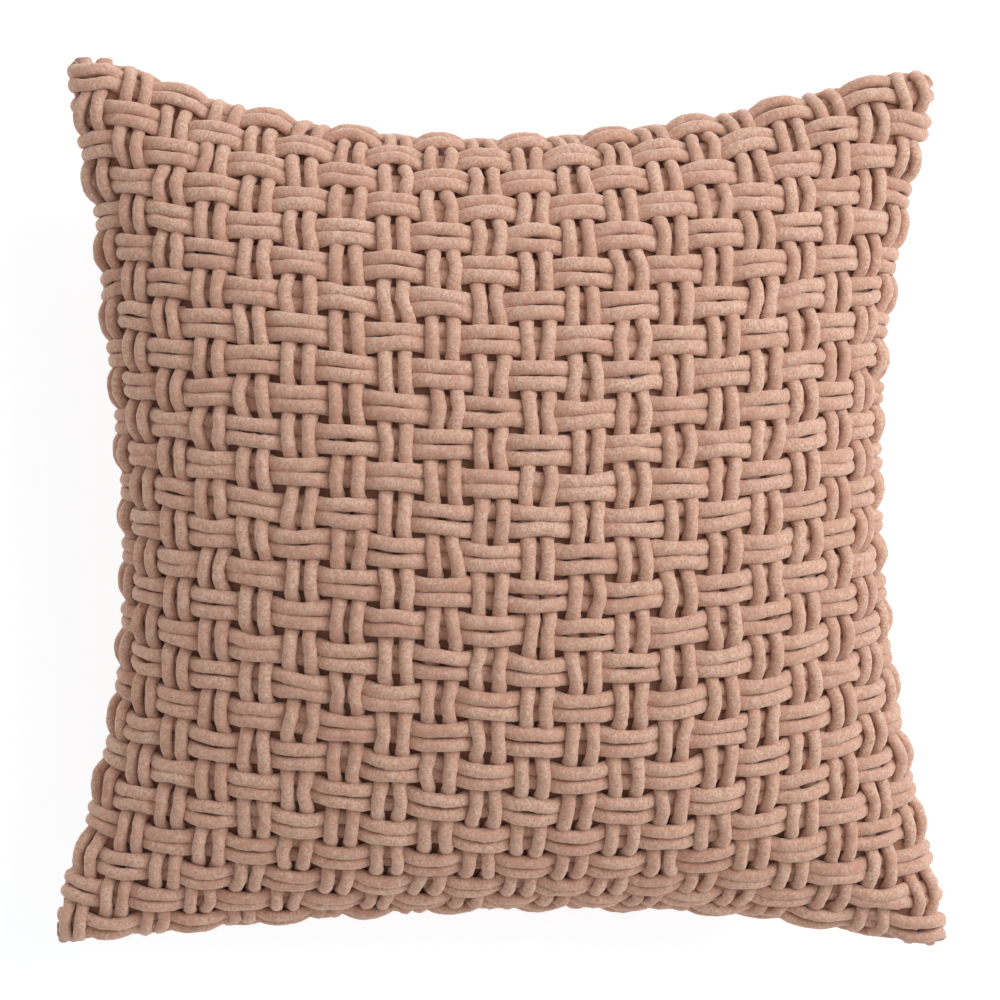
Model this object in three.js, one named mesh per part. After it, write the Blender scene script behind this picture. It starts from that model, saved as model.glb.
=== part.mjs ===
// Square throw cushion in a chunky basket weave, filled, lying on its back.
// Millimetres, +Z out of the shown face, +Y to its upper edge, origin at the bottom centre.

import * as THREE from 'three';

// Weave: yarns run in pairs, and each cell is where one pair crosses over another
const CELLS_ACROSS = 20;
const CELLS_UP = 26;
const FLAT_COVER = 508;          // side of the square cover before it is filled

// Outline of the fold between the two faces, taken in the middle of the cloth
const HALF_WIDTH = 242;          // centre to a corner, across
const HALF_HEIGHT = 243;         // centre to a corner, up
const SIDE_PULL = 35;            // how far the middle of each side edge is drawn in
const END_PULL = 32;             // the same at the upper and lower edges
const EAR = 0.9;                 // from this share of the way to a corner, the edge isn't drawn in
const EAR_SOFTNESS = 0.08;       // how gently the drawn-in edge runs out there

// How the filling has settled, which sets the outline a little out of square
const SETTLE = 10;               // the middle columns sit lower than the side edges
const FOOT_SPREAD = 6;           // the lower corners stand further apart than the upper ones
const FOOT_DROP = 1.7;           // the upper and lower edges both sit this much low
const SLANT = 4;                 // the right edge sits lower than the left edge
const BOW = 0.9;                 // the middle rows lie further to the left
const LEAN = 0.7;                // the columns lean to the right going up
const TWIST = 0.28;              // share by which each edge is drawn in more towards one end
const LOW_PULL = 0.17;           // the same for the side edges, below the middle

// Crown: cells keep their length over it, so they crowd together in plan near the edges
const CROWN_FRONT = 88;
const CROWN_BACK = 80;
const CROWD_ACROSS = { even: 0.23, edge: 0.22 };
const CROWD_UP = { even: 0.2, edge: 0.2 };

// Cloth: two yarns thick, folded round at the edges
const FOLD_RADIUS = 9;
const FOLD_ARC = 14;             // length of cloth in a quarter of the fold
const RELIEF = { top: 8, side: 5, pit: 2 };   // surface above the middle of the cloth

// Rest: the back is pressed flat by the cushion's own weight
const FOLD_HEIGHT = 80;          // height of the fold above what the cushion lies on
const RELIEF_RETURNS = 12;       // the weave stands proud again this far above the flat spot

const CHENILLE = { color: 0xc39a84, roughness: 0.95, metalness: 0 };

const clamp01 = (t) => THREE.MathUtils.clamp(t, 0, 1);

// Rounding of the fold, 0 on it and 1 where the cloth lies flat beside it
function foldRise(t) {
  const arc = (1 - Math.abs(t)) * FLAT_COVER / 2;
  return Math.sin(Math.min(1, arc / FOLD_ARC) * Math.PI / 2);
}

// Place across one direction after the cells have crowded towards the edges
function crowded(t, crowd, lift) {
  return t + (crowd.even + crowd.edge * t * t) * t * (1 - t * t) * lift;
}

// Share of the drawing-in at a place along an edge, 1 in its middle and near 0 at the corners
function drawnIn(t) {
  const share = 1 - (t / EAR) ** 2;
  return (share + Math.hypot(share, EAR_SOFTNESS)) / 2;
}

// Middle of the cloth at u across and v up, both from -1 to 1; side is 1 in front and -1 behind
function clothPoint(u, v, side) {
  const domeU = 1 - u * u;
  const domeV = 1 - v * v;
  const pullU = drawnIn(u);
  const pullV = drawnIn(v);
  const sidePull = SIDE_PULL * pullV * (1 + TWIST * u * v - LOW_PULL * v);
  const endPull = END_PULL * pullU * (1 - TWIST * u * v);
  const halfWidth = HALF_WIDTH - FOOT_SPREAD * v - sidePull;
  const halfHeight = HALF_HEIGHT - FOOT_DROP * v - endPull;
  const x = crowded(u, CROWD_ACROSS, domeV) * halfWidth - BOW * pullV + LEAN * v * domeU;
  const y = crowded(v, CROWD_UP, domeU) * halfHeight - SETTLE * pullU - SLANT * u;
  const crown = side > 0 ? CROWN_FRONT : CROWN_BACK;
  const rise = FOLD_RADIUS * foldRise(u) * foldRise(v) + crown * domeU * domeV;
  return new THREE.Vector3(x, y, FOLD_HEIGHT + side * rise);
}

// Closed surface in the middle of the cloth, each cell split in two both ways
function clothGrid() {
  const columns = 2 * CELLS_ACROSS;
  const rows = 2 * CELLS_UP;
  const points = [];
  const kinds = [];
  const number = { 1: new Map(), '-1': new Map() };
  const key = (i, j) => i * (rows + 1) + j;
  const onFold = (i, j) => i === 0 || j === 0 || i === columns || j === rows;

  for (const side of [1, -1]) {
    for (let i = 0; i <= columns; i++) {
      for (let j = 0; j <= rows; j++) {
        if (side < 0 && onFold(i, j)) {
          number[side].set(key(i, j), number[1].get(key(i, j)));
          continue;
        }
        number[side].set(key(i, j), points.length);
        points.push(clothPoint(2 * i / columns - 1, 2 * j / rows - 1, side));
        kinds.push(['pit', 'side', 'top'][i % 2 + j % 2]);
      }
    }
  }

  const index = [];
  const triangle = (side, a, b, c) => index.push(...(side > 0 ? [a, b, c] : [a, c, b]));
  for (const side of [1, -1]) {
    const at = (i, j) => number[side].get(key(i, j));
    for (let i = 0; i < columns; i++) {
      for (let j = 0; j < rows; j++) {
        const [a, b, c, d] = [at(i, j), at(i + 1, j), at(i + 1, j + 1), at(i, j + 1)];
        if ((i + j) % 2 === 0) {
          triangle(side, a, b, c);
          triangle(side, a, c, d);
        } else {
          triangle(side, a, b, d);
          triangle(side, b, c, d);
        }
      }
    }
  }
  return { points, kinds, index };
}

function geometryOf(points, index) {
  const geometry = new THREE.BufferGeometry().setFromPoints(points);
  geometry.setIndex(index);
  geometry.computeVertexNormals();
  return geometry;
}

// Outer surface: the grid pushed out to the tops of the weave, sunk between the cells
function outerPoints({ points, kinds, index }) {
  const normals = geometryOf(points, index).getAttribute('normal');
  return points.map((point, n) => {
    const normal = new THREE.Vector3().fromBufferAttribute(normals, n);
    const top = point.z + RELIEF.top * normal.z;
    const shows = clamp01(top / RELIEF_RETURNS);
    const reach = THREE.MathUtils.lerp(RELIEF.top, RELIEF[kinds[n]], shows);
    const outer = point.clone().addScaledVector(normal, reach);
    outer.z = Math.max(0, outer.z);
    return outer;
  });
}

function cushion() {
  const grid = clothGrid();
  const geometry = geometryOf(outerPoints(grid), grid.index);
  geometry.computeBoundingBox();
  const middle = geometry.boundingBox.getCenter(new THREE.Vector3());
  geometry.translate(-middle.x, -middle.y, 0);

  const mesh = new THREE.Mesh(geometry, new THREE.MeshStandardMaterial(CHENILLE));
  mesh.name = 'cushion';
  return mesh;
}

const part = new THREE.Group();
part.add(cushion());

export default part;
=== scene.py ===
"""Square throw cushion in a chunky chenille basket weave, lying on its back on a pale floor.

Every yarn of the weave is a closed loop round the filled body. Metres, +Z out of the shown face.
"""

import math

import bpy
import numpy as np
from mathutils import Matrix, Vector


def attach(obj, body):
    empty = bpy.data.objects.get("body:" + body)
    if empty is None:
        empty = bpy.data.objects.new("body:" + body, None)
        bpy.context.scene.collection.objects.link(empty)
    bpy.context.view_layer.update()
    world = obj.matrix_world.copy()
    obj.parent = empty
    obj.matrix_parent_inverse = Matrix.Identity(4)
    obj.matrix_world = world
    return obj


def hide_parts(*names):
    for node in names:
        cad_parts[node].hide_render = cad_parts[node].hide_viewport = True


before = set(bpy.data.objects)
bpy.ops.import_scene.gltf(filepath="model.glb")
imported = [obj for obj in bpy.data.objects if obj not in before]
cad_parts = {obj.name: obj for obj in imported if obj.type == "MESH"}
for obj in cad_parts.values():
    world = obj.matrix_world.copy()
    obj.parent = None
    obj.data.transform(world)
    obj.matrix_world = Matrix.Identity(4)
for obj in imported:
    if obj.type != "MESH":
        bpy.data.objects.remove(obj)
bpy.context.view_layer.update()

MM = 0.001

# Weave: pairs of yarn, and a cell where one pair crosses over another
CELLS_ACROSS = 20
CELLS_UP = 26
CELLS_ALONG = {"row": CELLS_ACROSS, "column": CELLS_UP}
PAIRS = {"row": CELLS_UP, "column": CELLS_ACROSS}
FLAT_COVER = 508 * MM            # side of the square cover before it is filled

# Outline of the fold between the two faces, taken in the middle of the cloth as in the solid
HALF_WIDTH = 242 * MM            # centre to a corner, across
HALF_HEIGHT = 243 * MM           # centre to a corner, up
SIDE_PULL = 35 * MM              # how far the middle of each side edge is drawn in
END_PULL = 32 * MM               # the same at the upper and lower edges
EAR = 0.9                        # from this share of the way to a corner, it isn't drawn in
EAR_SOFTNESS = 0.08              # how gently the drawn-in edge runs out there

# How the filling has settled, as in the solid
SETTLE = 10 * MM                 # the middle columns sit lower than the side edges
FOOT_SPREAD = 6 * MM             # the lower corners stand further apart than the upper ones
FOOT_DROP = 1.7 * MM             # the upper and lower edges both sit this much low
SLANT = 4 * MM                   # the right edge sits lower than the left edge
BOW = 0.9 * MM                   # the middle rows lie further to the left
LEAN = 0.7 * MM                  # the columns lean to the right going up
TWIST = 0.28                     # share by which each edge is drawn in more towards one end
LOW_PULL = 0.17                  # the same for the side edges, below the middle

# Crown and fold, as in the solid; the cells crowd together in plan near the edges
CROWN_FRONT = 88 * MM
CROWN_BACK = 80 * MM
CROWD_ACROSS = {"even": 0.23, "edge": 0.22}
CROWD_UP = {"even": 0.2, "edge": 0.2}
FOLD_RADIUS = 9 * MM
FOLD_ARC = 14 * MM               # length of cloth in a quarter of the fold
FOLD_HEIGHT = 80 * MM            # height of the fold above the floor

# Rest: the back is pressed flat by the cushion's own weight
REST_GAP = 6.4 * MM              # middle of the cloth above the floor there
REST_SOFTNESS = 3 * MM           # how gently the flat part runs out

# Short stretch where the left edge is pressed in; its place and lengths are in cells
DENT = {"most": 4.5 * MM, "middle": 4.6, "width": 2.0, "reach": 2.0}

# Filling: a short cloth simulation swells a slightly flatter form, and no point moves far
FILL_STEPS = 2                   # simulated quads per cell, each way
FILL_START = 0.95                # share of the thickness that it starts from
FILL_PRESSURE = 30
FILL_FRAMES = 20
FILL_REACH = 6 * MM              # most that a point may move

# Where the weave lies on the form, and how far it drifts over it, in cells
DRIFT_RIGHT = {"even": 0.06, "up": 0.03, "ends": -0.17, "inwards": 0.335}
DRIFT_DOWN = {"even": -0.21, "right": -0.03, "up": 0.46, "corner": 0.23}

# Rows that crowd to the lower edge, in cells but for the place and width across
LOW_CROWD = {"most": 0.79, "middle": 0.2, "width": 0.5, "reach": 4}

# Columns that lean left at the lower edge, in cells
LOW_SHEAR = {"most": 0.7, "right": 0.36, "reach": 1.7, "fade": 3.0}

# Rows that sit lower at the left edge, in cells
LEFT_DROP = {"most": 0.28, "middle": 8.5, "width": 6.0, "reach": 2.5}

# Round the fold, in cells: the weave slips a little to the back, and lies closer there
SLIP = {"left": 0.26, "right": 0.22, "top": 0.22, "bottom": 0.0}
SLIP_CELLS = 1.0                 # how far from the fold that reaches
SLIP_FADE = 3.0                  # it fades out this near to a corner
BACK_CLOSING = 0.4               # share by which the first yarns behind it lie nearer to it
BACK_CLOSING_CELLS = 0.6

# Yarn
YARN_RADIUS = {"row": 3.7 * MM, "column": 3.5 * MM}
YARN_WIDTH = 1.03                # a yarn is pressed a little wide
YARN_DEPTH = 0.97
UNDER_SWELL = 0.26               # how much wider a yarn is where it passes under
YARN_HEIGHT = 3.0 * MM           # its middle at its highest, above the middle of the cloth
PAIR_SPREAD = {"row": 0.205, "column": 0.22}   # a yarn's middle from its pair's, in cells
CREST_SHARPNESS = 1.7            # how flat a yarn lies on top before it dives
RINGS_PER_CELL = 9
RING_POINTS = 12
SLOPE_STEP = 0.12                # how far to each side the cloth's slope is taken, in cells

# Near the fold the weave is looser: rounder and higher floats of slimmer yarn
EDGE_CELLS = 2.2                 # how far from the fold that reaches
EDGE_ARCH = {"top": 0.35, "bottom": 0.08, "back": -0.35}   # share added to the height there
EDGE_CLOSING = 0.12              # share by which the two yarns of a pair lie closer there
EDGE_ROUNDING = 0.45             # share taken off the crest's sharpness
EDGE_THINNING = 0.12             # share taken off the radius in front

# At the fold, with distances in cells
FOLD_GRIP = 0.6                  # this near to it, a yarn that crosses it is drawn in
FOLD_SINK = 1.3 * MM             # by how much
FOLD_FLATTENING = 0.7            # share of its height that it loses there
CORNER_CELLS = 1.3               # nearer than this to a corner, it isn't drawn in
FOLD_SWELL = 0.25                # how much wider a yarn is just behind the fold
FOLD_SWELL_CELLS = 0.8
FOLD_TURN = 4                    # how sharply front gives way to back

# Filled body under the weave
BODY_STEPS = 2                   # quads per cell, each way
BODY_INSET = 3.6 * MM            # under the middle of the cloth
BODY_RIM = 0.1                   # where it ends before the fold, in cells
BODY_CORNER = 0.6                # how much further inside it ends at the corners, in cells
BODY_RIM_RISE = 0.6              # share by which it comes nearer the cloth at its rim
BODY_RIM_CELLS = 1.0             # how far from the fold that reaches

# Hand-made unevenness, each the usual size of a seeded random part
SEED = 7
PAIR_SWAY = 0.026                # sideways, both yarns of a pair together, in cells
YARN_SWAY = 0.024                # sideways, each yarn where it dives, in cells
FLOAT_BOW = 0.026                # sideways, each yarn half way along a float, in cells
MOST_BOW = 0.065                 # most that a float bows, in cells
HEIGHT_SWAY = 0.30 * MM
THICKNESS_SWAY = 0.035
PILE_SWAY = 0.14 * MM            # lumps of the pile
FLOAT_TONE = 0.6                 # each float lighter or darker
YARN_TONE = 0.35                 # each yarn as a whole lighter or darker

# One slack yarn at the left edge: its column, which of the pair, and its place in cells
LOOSE_LOOP = {"column": 1, "member": 0, "place": 3.5, "length": 0.5, "reach": 1.5 * MM}

# Pieces of the weave: direction, first pair and last pair, from the top or the left
WEAVE_PIECES = {
    "weave_rows_upper": ("row", 1, 9),
    "weave_rows_middle": ("row", 10, 18),
    "weave_rows_lower": ("row", 19, 26),
    "weave_columns_left": ("column", 1, 7),
    "weave_columns_middle": ("column", 8, 14),
    "weave_columns_right": ("column", 15, 20),
}

# Colours as they look on a screen, from 0 to 255
YARN_DARK = (193, 144, 123)
YARN_LIGHT = (221, 184, 161)
YARN_WORN = (228, 200, 180)
YARN_SPECK = (186, 138, 115)
YARN_SHEEN = (250, 222, 205)
# The body's two colours, the ends of its grain, are darker than the yarn as painted shade in the
# gaps
BODY_DARK_WITH_PAINTED_SHADE = (138, 96, 78)
BODY_LIGHT_WITH_PAINTED_SHADE = (172, 127, 105)

# Mottling: noise with scales per metre, and the span of each noise that is used
TONE_RANGE = (-1.5, 1.5)
PILE_NOISE = {"Scale": 620, "Detail": 2.0, "Roughness": 0.65}
PILE_RANGE = (0.34, 0.64)
PATCH_NOISE = {"Scale": 230, "Detail": 1.0, "Roughness": 0.5}
PATCH_RANGE = (0.35, 0.65)
MOST_WORN = 0.5                  # most of the worn colour that a patch takes
GRAIN_NOISE = {"Scale": 700, "Detail": 2.0, "Roughness": 0.5}

# Finish of the pile and of the body
PILE_FINISH = {"Roughness": 0.95, "Specular IOR Level": 0.15, "Sheen Weight": 0.8,
               "Sheen Roughness": 0.5}
PILE_BUMP = {"Strength": 0.7, "Distance": 0.9 * MM}
BODY_FINISH = {"Roughness": 1.0, "Specular IOR Level": 0.05}

# Floor, which gives some light of its own, so that shadows on it stay faint
FLOOR_FINISH = {"Base Color": (0.4, 0.4, 0.4, 1), "Roughness": 1.0, "Specular IOR Level": 0,
                "Emission Color": (0.98, 1, 1.015, 1), "Emission Strength": 0.785}
FLOOR_HALF = 6.0                 # half of the floor's side
FLOOR_DROP = 0.5 * MM            # floor below the cushion

# Light: one large soft lamp from the upper right, and pale surroundings
KEY_PLACE = (1.55, 1.05, 1.62)
KEY_TARGET = (0, 0, 0.09)
KEY_SIZE = 1.8
KEY_POWER = 51
KEY_COLOUR = (0.95, 1.0, 1.05)
HORIZON_STRENGTH = 1.0
OVERHEAD_STRENGTH = 0.5
HORIZON_BAND = 0.35              # sine of the elevation where the one has become the other

# Camera: nearly straight onto the face, a little from its left and upper side
CAMERA_DISTANCE = 2.2
CAMERA_LEFT = math.radians(3.3)
CAMERA_UP = math.radians(5.2)
CAMERA_REACH = 50                # how far it sees
FRAME_PIXELS = 1000
PIXEL_SIZE = 0.555 * MM          # at the height of the fold
FRAME_MIDDLE = 503.9             # pixel column of the cushion's middle
AIM_UP = 2.5 * MM                # the middle of the frame above the cushion's middle
SENSOR = 36.0

rng = np.random.default_rng(SEED)


def bell(*distances):
    """1 where every distance is 0, falling off smoothly to nearly 0 where one is 2."""
    return np.exp(-sum(distance ** 2 for distance in distances))


def unit(vectors):
    """The same directions with a length of 1."""
    return vectors / np.linalg.norm(vectors, axis=-1, keepdims=True)


# Form of the cloth, at places i cells from the left of a face and j cells from its top

def crowded(t, crowd, lift):
    """Place across one direction after the cells have crowded towards the edges."""
    return t + (crowd["even"] + crowd["edge"] * t * t) * t * (1 - t * t) * lift


def fold_rise(t):
    """Rounding of the fold, 0 on it and 1 where the cloth lies flat beside it."""
    arc = (1 - np.abs(t)) * FLAT_COVER / 2
    return np.sin(np.minimum(1, arc / FOLD_ARC) * math.pi / 2)


def drawn_in(t):
    """Share of the drawing-in along an edge, 1 in its middle and near 0 at the corners."""
    share = 1 - (t / EAR) ** 2
    return (share + np.hypot(share, EAR_SOFTNESS)) / 2


def formed_point(i, j, side):
    """Middle of the cloth as in the solid; side is 1 in front and -1 behind."""
    u = 2 * i / CELLS_ACROSS - 1
    v = 1 - 2 * j / CELLS_UP
    dome_u, dome_v = 1 - u * u, 1 - v * v
    pull_u, pull_v = drawn_in(u), drawn_in(v)
    side_pull = SIDE_PULL * pull_v * (1 + TWIST * u * v - LOW_PULL * v)
    end_pull = END_PULL * pull_u * (1 - TWIST * u * v)
    half_width = HALF_WIDTH - FOOT_SPREAD * v - side_pull
    half_height = HALF_HEIGHT - FOOT_DROP * v - end_pull
    x = crowded(u, CROWD_ACROSS, dome_v) * half_width - BOW * pull_v + LEAN * v * dome_u
    y = crowded(v, CROWD_UP, dome_u) * half_height - SETTLE * pull_u - SLANT * u
    crown = np.where(side > 0, CROWN_FRONT, CROWN_BACK)
    rise = FOLD_RADIUS * fold_rise(u) * fold_rise(v) + crown * dome_u * dome_v
    return np.stack([x, y, FOLD_HEIGHT + side * rise], axis=-1)


def face_grid(steps):
    """Places of an even grid over a face, with this many steps per cell."""
    return np.meshgrid(np.arange(CELLS_ACROSS * steps + 1) / steps,
                       np.arange(CELLS_UP * steps + 1) / steps, indexing="ij")


def sheet_faces(numbers, side):
    """Quads between the numbered points of a grid, turned outwards."""
    a, b = numbers[:-1, :-1], numbers[1:, :-1]
    c, d = numbers[1:, 1:], numbers[:-1, 1:]
    order = (a, d, c, b) if side > 0 else (a, b, c, d)
    return np.stack(order, axis=-1).reshape(-1, 4)


def closed_cloth(front_points, back_points):
    """Two grids of points joined along their rim: points, quads and the grids' numbers."""
    inner = np.zeros(front_points.shape[:2], bool)
    inner[1:-1, 1:-1] = True
    middle = (front_points + back_points) / 2
    front = np.arange(inner.size).reshape(inner.shape)
    back = front.copy()
    back[inner] = inner.size + np.arange(inner.sum())
    points = np.concatenate([np.where(inner[..., None], front_points, middle).reshape(-1, 3),
                             back_points[inner]])
    quads = np.concatenate([sheet_faces(front, 1), sheet_faces(back, -1)])
    return points, quads, front, back


def filled_moves():
    """How far the filling pushes each grid point of the cloth up or down, by side."""
    i, j = face_grid(FILL_STEPS)
    points, quads, front, back = closed_cloth(formed_point(i, j, 1.0), formed_point(i, j, -1.0))
    start = points.copy()
    start[:, 2] = FOLD_HEIGHT + (points[:, 2] - FOLD_HEIGHT) * FILL_START
    mesh = bpy.data.meshes.new("fill")
    mesh.from_pydata(start.tolist(), [], quads.tolist())
    pad = bpy.data.objects.new("fill", mesh)
    bpy.context.collection.objects.link(pad)
    held = pad.vertex_groups.new(name="fold")
    held.add(front[front == back].tolist(), 1.0, "REPLACE")
    cloth = pad.modifiers.new("fill", "CLOTH")
    cloth.settings.use_pressure = True
    cloth.settings.uniform_pressure_force = FILL_PRESSURE
    cloth.settings.effector_weights.gravity = 0
    cloth.settings.vertex_group_mass = "fold"
    cloth.point_cache.frame_start = 1
    cloth.point_cache.frame_end = FILL_FRAMES
    for frame_number in range(1, FILL_FRAMES + 1):
        bpy.context.scene.frame_set(frame_number)
    settled = pad.evaluated_get(bpy.context.evaluated_depsgraph_get())
    places = np.empty(len(points) * 3, np.float32)
    settled.data.vertices.foreach_get("co", places)
    bpy.data.objects.remove(pad)
    bpy.data.meshes.remove(mesh)
    bpy.context.scene.frame_set(1)
    moves = places.reshape(-1, 3) - points
    # Sideways the cloth stays, so that the weave isn't pulled out of place
    moves[:, :2] = 0
    moves = np.clip(moves, -FILL_REACH, FILL_REACH)
    return {1: moves[front], -1: moves[back]}


def sampled(values, i, j):
    """Values of a grid with FILL_STEPS steps per cell, joined by smooth cubics."""
    def weights(place, count):
        place = np.clip(place * FILL_STEPS, 0, count - 1)
        whole = np.minimum(place.astype(int), count - 2)
        part = place - whole
        picks = [np.clip(whole + k, 0, count - 1) for k in (-1, 0, 1, 2)]
        shares = [(-part + 2 * part**2 - part**3) / 2, (2 - 5 * part**2 + 3 * part**3) / 2,
                  (part + 4 * part**2 - 3 * part**3) / 2, (part**3 - part**2) / 2]
        return list(zip(picks, shares))

    down = weights(j, values.shape[1])
    return sum(values[a, b] * (share_a * share_b)[..., None]
               for a, share_a in weights(i, values.shape[0]) for b, share_b in down)


def cloth_point(i, j, side):
    """Middle of the filled cloth, pressed flat where it rests."""
    i, j, side = np.broadcast_arrays(i, j, side)
    moves = np.where((side > 0)[..., None], sampled(FILLED[1], i, j), sampled(FILLED[-1], i, j))
    point = formed_point(i, j, side) + moves
    point[..., 0] += DENT["most"] * bell((j - DENT["middle"]) / DENT["width"], i / DENT["reach"])
    above_rest = (point[..., 2] - REST_GAP) / REST_SOFTNESS
    point[..., 2] = REST_GAP + REST_SOFTNESS * np.logaddexp(0, above_rest)
    return point


def folded_point(i, j, side):
    """cloth_point that carries on round the fold when one of i and j runs past it."""
    over = (i < 0) | (i > CELLS_ACROSS) | (j < 0) | (j > CELLS_UP)
    i = np.where(i < 0, -i, np.where(i > CELLS_ACROSS, 2 * CELLS_ACROSS - i, i))
    j = np.where(j < 0, -j, np.where(j > CELLS_UP, 2 * CELLS_UP - j, j))
    return cloth_point(i, j, np.where(over, -side, side))


def cloth_frame(i, j, side):
    """Point and outward normal of the cloth."""
    point = cloth_point(i, j, side)
    along = folded_point(i + SLOPE_STEP, j, side) - folded_point(i - SLOPE_STEP, j, side)
    down = folded_point(i, j + SLOPE_STEP, side) - folded_point(i, j - SLOPE_STEP, side)
    return point, unit(np.cross(down, along)) * np.asarray(side)[..., None]


# Where the weave lies on the cloth

def drifted(i, j):
    """Where a place of the weave lies on the form, both in cells."""
    u = 2 * i / CELLS_ACROSS - 1
    v = 1 - 2 * j / CELLS_UP
    right = (1 - u * u) * (DRIFT_RIGHT["even"] + DRIFT_RIGHT["up"] * v
                           + (DRIFT_RIGHT["ends"] - DRIFT_RIGHT["inwards"] * u) * v * v)
    down = (1 - v * v) * (DRIFT_DOWN["even"] + DRIFT_DOWN["right"] * u + DRIFT_DOWN["up"] * v
                          + DRIFT_DOWN["corner"] * u * v)
    rise = (CELLS_UP - j) / LOW_CROWD["reach"]
    crowd = LOW_CROWD["most"] * rise * np.exp(1 - rise)
    down = down + crowd * bell((u - LOW_CROWD["middle"]) / LOW_CROWD["width"])
    down = down + LEFT_DROP["most"] * bell((j - LEFT_DROP["middle"]) / LEFT_DROP["width"],
                                           i / LEFT_DROP["reach"])
    lean = LOW_SHEAR["most"] + LOW_SHEAR["right"] * u
    lean = lean * np.exp(-(CELLS_UP - j) / LOW_SHEAR["reach"])
    fade = np.minimum(1, i) * (1 - bell((CELLS_ACROSS - i) / LOW_SHEAR["fade"]))
    return i + right - lean * fade, j + down


def slipped(to_fold, beside, side, amount):
    """Signed distance from a fold after slipping round it, above 0 in front."""
    near = side * to_fold
    fade = 1 - bell(beside / SLIP_FADE)
    near = near - amount * fade * bell(near / SLIP_CELLS)
    closing = BACK_CLOSING * bell(near / BACK_CLOSING_CELLS)
    return np.where(near < 0, near * (1 - closing), near)


def laid(i, j, side):
    """Where a place of the weave lies on the filled cloth, as a place and a side."""
    i, j = drifted(i, j)
    beside_i, beside_j = np.minimum(i, CELLS_ACROSS - i), np.minimum(j, CELLS_UP - j)
    left = slipped(i, beside_j, side, SLIP["left"])
    right = slipped(CELLS_ACROSS - i, beside_j, side, SLIP["right"])
    top = slipped(j, beside_i, side, SLIP["top"])
    bottom = slipped(CELLS_UP - j, beside_i, side, SLIP["bottom"])
    over = np.minimum(np.minimum(left, right), np.minimum(top, bottom)) < 0
    i = np.where(i < CELLS_ACROSS / 2, np.abs(left), CELLS_ACROSS - np.abs(right))
    j = np.where(j < CELLS_UP / 2, np.abs(top), CELLS_UP - np.abs(bottom))
    return i, j, np.where(over, -1.0, 1.0)


# Yarns, each a loop along which a place t is in cells

def ring_places(cells):
    """Where the rings of a yarn stand, over a front and a back of this many cells."""
    return np.arange(2 * cells * RINGS_PER_CELL) / RINGS_PER_CELL


def around(t, cells):
    """Places along a loop as places on a face and the face's side."""
    front = t < cells
    return np.where(front, t, 2 * cells - t), np.where(front, 1.0, -1.0)


def smooth_noise(t, cells, amount, per_cell=1):
    """Seeded values at even places round a loop, joined smoothly."""
    places = t * per_cell
    period = 2 * cells * per_cell
    values = rng.normal(0, amount, period)
    whole = np.floor(places).astype(int)
    part = places - whole
    ease = part * part * (3 - 2 * part)
    return values[whole % period] * (1 - ease) + values[(whole + 1) % period] * ease


def float_bow(t, cells):
    """How far each float bows sideways, in cells."""
    bows = np.clip(rng.laplace(0, FLOAT_BOW, 2 * cells), -MOST_BOW, MOST_BOW)
    return np.repeat(bows, RINGS_PER_CELL) * np.sin(math.pi * t) ** 2


def over_under(t, direction, number, edge):
    """1 where a yarn lies on top of the weave and -1 where it passes under."""
    under_first = (number + (direction == "row")) % 2
    sign = -1 if under_first else 1
    sharpness = CREST_SHARPNESS * (1 - EDGE_ROUNDING * edge)
    return np.tanh(sharpness * sign * np.sin(math.pi * t)) / np.tanh(sharpness)


def loose_reach(direction, number, member, t):
    """How far the one slack yarn at the left edge stands off."""
    if (direction, number, member) != ("column", LOOSE_LOOP["column"], LOOSE_LOOP["member"]):
        return np.zeros(t.shape)
    return LOOSE_LOOP["reach"] * bell((t - LOOSE_LOOP["place"]) / LOOSE_LOOP["length"])


def yarn_loop(direction, number, member, pair_sway):
    """Middle line, outward direction, tone, thickness and width of one yarn of a pair."""
    cells = CELLS_ALONG[direction]
    t = ring_places(cells)
    place, side = around(t, cells)

    # Where it lies on the cloth
    bow = float_bow(t, cells)
    sway = pair_sway + smooth_noise(t, cells, YARN_SWAY) + bow
    to_fold = np.minimum(place, cells - place)
    beside = min(number, PAIRS[direction] + 1 - number) - 0.5
    edge = bell(np.minimum(to_fold, beside) / EDGE_CELLS)
    spread = PAIR_SPREAD[direction] * (2 * member - 1) * (1 - EDGE_CLOSING * edge)
    line = number - 0.5 + spread + sway
    i, j = (place, line) if direction == "row" else (line, place)
    point, normal = cloth_frame(*laid(i, j, side))

    # How it rises over the others and dives under them
    wave = over_under(t, direction, number, edge)
    grip = bell(to_fold / FOLD_GRIP) * (1 - bell(beside / CORNER_CELLS))
    front_arch = EDGE_ARCH["top"] + (EDGE_ARCH["bottom"] - EDGE_ARCH["top"]) * j / CELLS_UP
    arch = 1 + np.where(side > 0, front_arch, EDGE_ARCH["back"]) * edge
    height = (YARN_HEIGHT * arch * wave * (1 - FOLD_FLATTENING * grip) - FOLD_SINK * grip
              + smooth_noise(t, cells, HEIGHT_SWAY, per_cell=2))
    middle = point + normal * height[:, None]
    middle[:, 0] -= loose_reach(direction, number, member, t)

    # How light and how thick it is
    tone = smooth_noise(t + 0.5, cells, FLOAT_TONE) + rng.normal(0, YARN_TONE)
    near = side * np.minimum(to_fold, beside)
    behind = 1 / (1 + np.exp(FOLD_TURN * near))
    thickness = (YARN_RADIUS[direction] * (1 - EDGE_THINNING * edge * (1 - behind))
                 * (1 + smooth_noise(t, cells, THICKNESS_SWAY, per_cell=2)))
    width = (YARN_WIDTH + UNDER_SWELL * (1 - wave) / 2
             + FOLD_SWELL * behind * bell(near / FOLD_SWELL_CELLS))
    return middle, normal, tone, thickness, width


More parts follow.
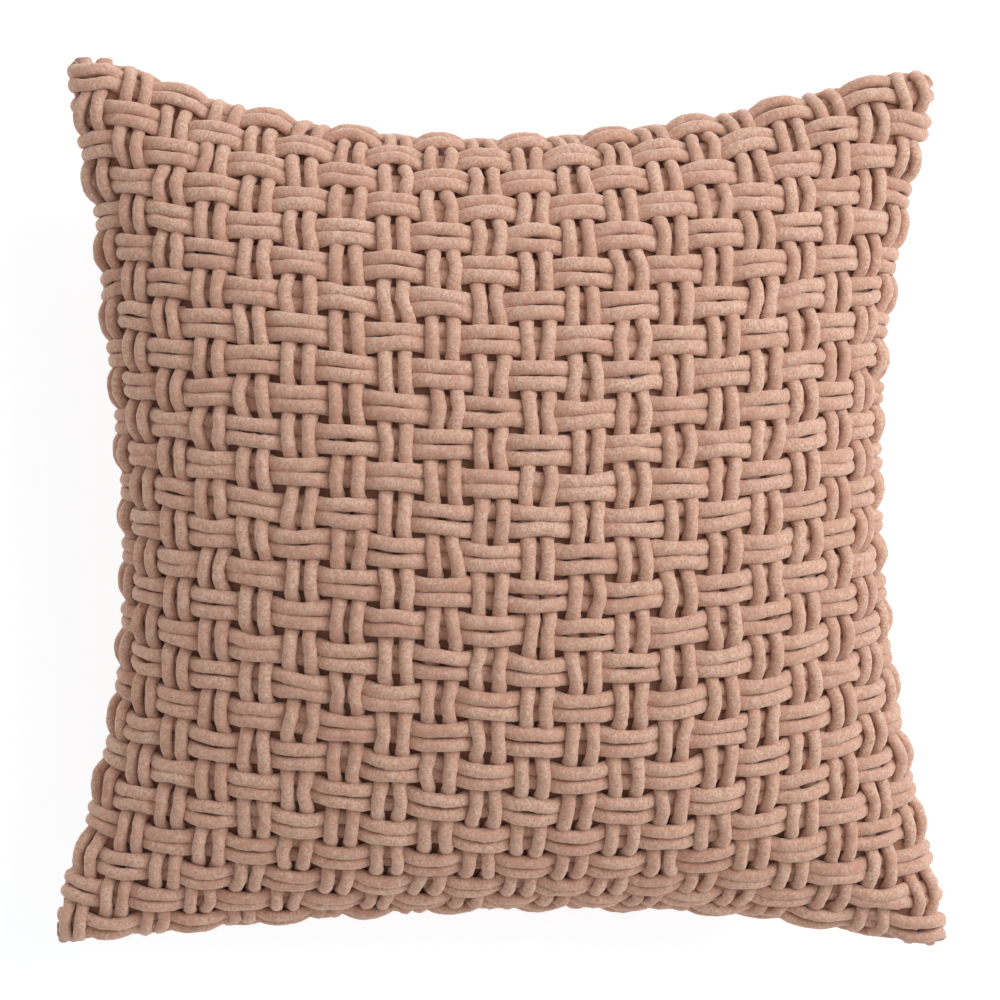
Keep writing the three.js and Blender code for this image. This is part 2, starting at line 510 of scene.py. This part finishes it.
def tube(middle, normal, thickness, width):
    """Rings of points round a closed middle line, a little wide and lumpy."""
    tangent = unit(np.roll(middle, -1, axis=0) - np.roll(middle, 1, axis=0))
    out = unit(normal - tangent * (normal * tangent).sum(1, keepdims=True))
    aside = np.cross(tangent, out)
    angle = 2 * math.pi * np.arange(RING_POINTS) / RING_POINTS
    ring = (out[:, None] * (YARN_DEPTH * np.sin(angle))[None, :, None]
            + aside[:, None] * (width[:, None] * np.cos(angle))[..., None])
    reach = thickness[:, None] + rng.normal(0, PILE_SWAY, (len(middle), RING_POINTS))
    return middle[:, None] + ring * reach[..., None]


def tube_faces(rings, points, first):
    """Quads of a tube whose rings close on themselves and on each other."""
    a = np.arange(rings)[:, None] * points
    b = (np.arange(rings)[:, None] + 1) % rings * points
    p = np.arange(points)[None]
    q = (p + 1) % points
    return np.stack([a + p, b + p, b + q, a + q], axis=-1).reshape(-1, 4) + first


# Pieces

def mesh_object(name, vertices, quads, attributes):
    """An object of these quads, with one value per point for each attribute."""
    mesh = bpy.data.meshes.new(name)
    mesh.vertices.add(len(vertices))
    mesh.vertices.foreach_set("co", np.ascontiguousarray(vertices, np.float32).ravel())
    mesh.loops.add(quads.size)
    mesh.loops.foreach_set("vertex_index", np.ascontiguousarray(quads, np.int32).ravel())
    mesh.polygons.add(len(quads))
    mesh.polygons.foreach_set("loop_start", np.arange(0, quads.size, 4, dtype=np.int32))
    mesh.update(calc_edges=True)
    mesh.shade_smooth()
    for key, values in attributes.items():
        layer = mesh.attributes.new(key, "FLOAT", "POINT")
        layer.data.foreach_set("value", np.ascontiguousarray(values, np.float32))
    mesh.validate()
    piece = bpy.data.objects.new(name, mesh)
    bpy.context.collection.objects.link(piece)
    return piece


def box_shift():
    """Middle of the fold, which the solid is moved by to put its box over the origin."""
    i, j = face_grid(FILL_STEPS)
    rim = np.concatenate([cloth_point(i[:, [0, -1]], j[:, [0, -1]], 1.0).reshape(-1, 3),
                          cloth_point(i[[0, -1]], j[[0, -1]], 1.0).reshape(-1, 3)])
    middle = (rim.min(0) + rim.max(0)) / 2
    return np.array([middle[0], middle[1], 0])


def weave_piece(name, direction, first_pair, last_pair):
    """The yarns of these pairs, each with its tones and the length run along it."""
    vertices, quads, tones, runs = [], [], [], []
    first = 0
    cells = CELLS_ALONG[direction]
    for number in range(first_pair, last_pair + 1):
        pair_sway = smooth_noise(ring_places(cells), cells, PAIR_SWAY)
        for member in (0, 1):
            middle, normal, tone, thickness, width = yarn_loop(direction, number, member,
                                                               pair_sway)
            rings = tube(middle - SHIFT, normal, thickness, width)
            # Pressed flat on the floor
            rings[..., 2] = np.maximum(rings[..., 2], 0)
            quads.append(tube_faces(len(rings), RING_POINTS, first))
            vertices.append(rings.reshape(-1, 3))
            tones.append(np.repeat(tone, RING_POINTS))
            steps = np.linalg.norm(np.roll(middle, -1, axis=0) - middle, axis=1)
            runs.append(np.repeat(np.cumsum(steps), RING_POINTS))
            first += len(rings) * RING_POINTS
    return mesh_object(name, np.concatenate(vertices), np.concatenate(quads),
                       {"tone": np.concatenate(tones), "run": np.concatenate(runs)})


def body_piece(name):
    """The filled body that shows between the yarns, coloured darker than the yarn as painted
    shade.
    """
    i, j = face_grid(BODY_STEPS)
    to_side, to_end = np.minimum(i, CELLS_ACROSS - i), np.minimum(j, CELLS_UP - j)
    rim_i = BODY_RIM + BODY_CORNER * bell(to_end / CORNER_CELLS)
    rim_j = BODY_RIM + BODY_CORNER * bell(to_side / CORNER_CELLS)
    i = np.clip(i, rim_i, CELLS_ACROSS - rim_i)
    j = np.clip(j, rim_j, CELLS_UP - rim_j)
    rise = BODY_RIM_RISE * bell(np.minimum(to_side, to_end) / BODY_RIM_CELLS)
    depth = BODY_INSET * (1 - rise)
    faces = []
    for side in (1.0, -1.0):
        point, normal = cloth_frame(i, j, np.full(i.shape, side))
        faces.append(point - normal * depth[..., None] - SHIFT)
    points, quads, _, _ = closed_cloth(*faces)
    return mesh_object(name, points, quads, {})


# Materials

# Sockets of a Mix node for colours, by number because its other kinds share their names
MIX_INPUTS = {"factor": 0, "low": 6, "high": 7}
MIX_RESULT = 2

# Standard curve of screen values
SCREEN_WHITE = 255
SRGB = {"knee": 0.04045, "slope": 12.92, "offset": 0.055, "power": 2.4}


def new_material(name):
    """A material, its node tree and its one shader."""
    material = bpy.data.materials.new(name)
    material.use_nodes = True
    tree = material.node_tree
    tree.nodes.clear()
    output = tree.nodes.new("ShaderNodeOutputMaterial")
    shader = tree.nodes.new("ShaderNodeBsdfPrincipled")
    tree.links.new(shader.outputs["BSDF"], output.inputs["Surface"])
    return material, tree, shader


def set_inputs(node, values):
    """Put constants on a node's sockets."""
    for key, value in values.items():
        node.inputs[key].default_value = value


def add(tree, kind, **settings):
    """A new node with these settings."""
    node = tree.nodes.new(kind)
    for key, value in settings.items():
        setattr(node, key, value)
    return node


def noise(tree, vector, values, run=None):
    """Noise over a place, and also over the run along a yarn where that is given."""
    node = add(tree, "ShaderNodeTexNoise", noise_dimensions="3D" if run is None else "4D")
    set_inputs(node, values)
    tree.links.new(vector, node.inputs["Vector"])
    if run is not None:
        tree.links.new(run, node.inputs["W"])
    return node.outputs["Fac"]


def mix(tree, **values):
    """Colour mix by a factor from low to high, each a value or an output socket."""
    node = add(tree, "ShaderNodeMix", data_type="RGBA", clamp_factor=True)
    for key, value in values.items():
        socket = node.inputs[MIX_INPUTS[key]]
        if isinstance(value, bpy.types.NodeSocket):
            tree.links.new(value, socket)
        else:
            socket.default_value = value
    return node.outputs[MIX_RESULT]


def ranged(tree, value, span, to_low=0.0, to_high=1.0):
    """A value that runs from to_low to to_high over the span."""
    node = add(tree, "ShaderNodeMapRange", clamp=True)
    tree.links.new(value, node.inputs["Value"])
    set_inputs(node, {"From Min": span[0], "From Max": span[1],
                      "To Min": to_low, "To Max": to_high})
    return node.outputs["Result"]


def linear(value):
    """A screen value as a linear one from 0 to 1."""
    share = value / SCREEN_WHITE
    if share <= SRGB["knee"]:
        return share / SRGB["slope"]
    return ((share + SRGB["offset"]) / (1 + SRGB["offset"])) ** SRGB["power"]


def rgba(colour):
    """A screen colour as an opaque linear one."""
    return (*(linear(value) for value in colour), 1.0)


def chenille():
    """Velvety pile: mottled colour, a tone of its own for each float, and a soft sheen."""
    material, tree, shader = new_material("chenille")
    place = add(tree, "ShaderNodeTexCoord").outputs["Object"]
    tone = add(tree, "ShaderNodeAttribute", attribute_name="tone").outputs["Fac"]
    run = add(tree, "ShaderNodeAttribute", attribute_name="run").outputs["Fac"]
    base = mix(tree, factor=ranged(tree, tone, TONE_RANGE),
               low=rgba(YARN_DARK), high=rgba(YARN_LIGHT))
    patches = ranged(tree, noise(tree, place, PATCH_NOISE), PATCH_RANGE, to_high=MOST_WORN)
    worn = mix(tree, factor=patches, low=base, high=rgba(YARN_WORN))
    pile = noise(tree, place, PILE_NOISE, run)
    coloured = mix(tree, factor=ranged(tree, pile, PILE_RANGE), low=rgba(YARN_SPECK), high=worn)
    tree.links.new(coloured, shader.inputs["Base Color"])
    set_inputs(shader, PILE_FINISH)
    shader.inputs["Sheen Tint"].default_value = rgba(YARN_SHEEN)
    bump = add(tree, "ShaderNodeBump")
    set_inputs(bump, PILE_BUMP)
    tree.links.new(pile, bump.inputs["Height"])
    tree.links.new(bump.outputs["Normal"], shader.inputs["Normal"])
    return material


def body_cloth_painted_shade():
    """Cloth behind the weave: its own grain, darkened as painted shade in the gaps between the
    yarns.
    """
    material, tree, shader = new_material("body_cloth_painted_shade")
    place = add(tree, "ShaderNodeTexCoord").outputs["Object"]
    colour = mix(tree, factor=noise(tree, place, GRAIN_NOISE),
                 low=rgba(BODY_DARK_WITH_PAINTED_SHADE), high=rgba(BODY_LIGHT_WITH_PAINTED_SHADE))
    tree.links.new(colour, shader.inputs["Base Color"])
    set_inputs(shader, BODY_FINISH)
    return material


# Surroundings

def floor_piece():
    """Plain pale floor."""
    material, _, shader = new_material("floor")
    set_inputs(shader, FLOOR_FINISH)
    corners = FLOOR_HALF * np.array([[-1, -1, 0], [1, -1, 0], [1, 1, 0], [-1, 1, 0]])
    floor = mesh_object("floor", corners, np.array([[0, 1, 2, 3]]), {})
    floor.location.z = -FLOOR_DROP
    floor.data.materials.append(material)


def key_light():
    """Soft square lamp."""
    light = bpy.data.lights.new("key", "AREA")
    light.shape = "SQUARE"
    light.size = KEY_SIZE
    light.energy = KEY_POWER
    light.color = KEY_COLOUR
    lamp = bpy.data.objects.new("key", light)
    bpy.context.collection.objects.link(lamp)
    lamp.location = KEY_PLACE
    lamp.rotation_mode = "QUATERNION"
    towards = Vector(KEY_TARGET) - Vector(KEY_PLACE)
    lamp.rotation_quaternion = towards.to_track_quat("-Z", "Y")


def studio_world():
    """White near the horizon and dimmer overhead."""
    world = bpy.data.worlds.new("studio")
    bpy.context.scene.world = world
    world.use_nodes = True
    tree = world.node_tree
    place = add(tree, "ShaderNodeTexCoord")
    split = add(tree, "ShaderNodeSeparateXYZ")
    tree.links.new(place.outputs["Generated"], split.inputs["Vector"])
    strength = ranged(tree, split.outputs["Z"], (0.0, HORIZON_BAND),
                      HORIZON_STRENGTH, OVERHEAD_STRENGTH)
    background = tree.nodes["Background"]
    background.inputs["Color"].default_value = (1, 1, 1, 1)
    tree.links.new(strength, background.inputs["Strength"])


def make_camera():
    """Camera aimed at the middle of the fold."""
    aim = Vector((0, AIM_UP, FOLD_HEIGHT)) - Vector(SHIFT)
    away = Vector((-math.sin(CAMERA_LEFT) * math.cos(CAMERA_UP), math.sin(CAMERA_UP),
                   math.cos(CAMERA_LEFT) * math.cos(CAMERA_UP)))
    right = Vector((0, 1, 0)).cross(away).normalized()
    up = away.cross(right)
    camera = bpy.data.cameras.new("camera")
    camera.sensor_width = SENSOR
    camera.lens = SENSOR * CAMERA_DISTANCE / (FRAME_PIXELS * PIXEL_SIZE)
    camera.shift_x = (FRAME_PIXELS / 2 - FRAME_MIDDLE) / FRAME_PIXELS
    camera.clip_end = CAMERA_REACH
    seat = bpy.data.objects.new("camera", camera)
    bpy.context.collection.objects.link(seat)
    rotation = Matrix((right, up, away)).transposed()
    seat.matrix_world = Matrix.Translation(aim + away * CAMERA_DISTANCE) @ rotation.to_4x4()
    bpy.context.scene.camera = seat


# The scene itself

def stand_in(piece, material):
    """Give a piece its material and let it stand for the solid."""
    piece.data.materials.append(material)
    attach(piece, "root")
    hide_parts("cushion")


FILLED = filled_moves()
SHIFT = box_shift()

pile_material = chenille()
for name, pairs in WEAVE_PIECES.items():
    stand_in(weave_piece(name, *pairs), pile_material)

body = body_piece("filled_body")
stand_in(body, body_cloth_painted_shade())

floor_piece()
key_light()
studio_world()
bpy.context.scene.view_settings.view_transform = "Standard"
make_camera()
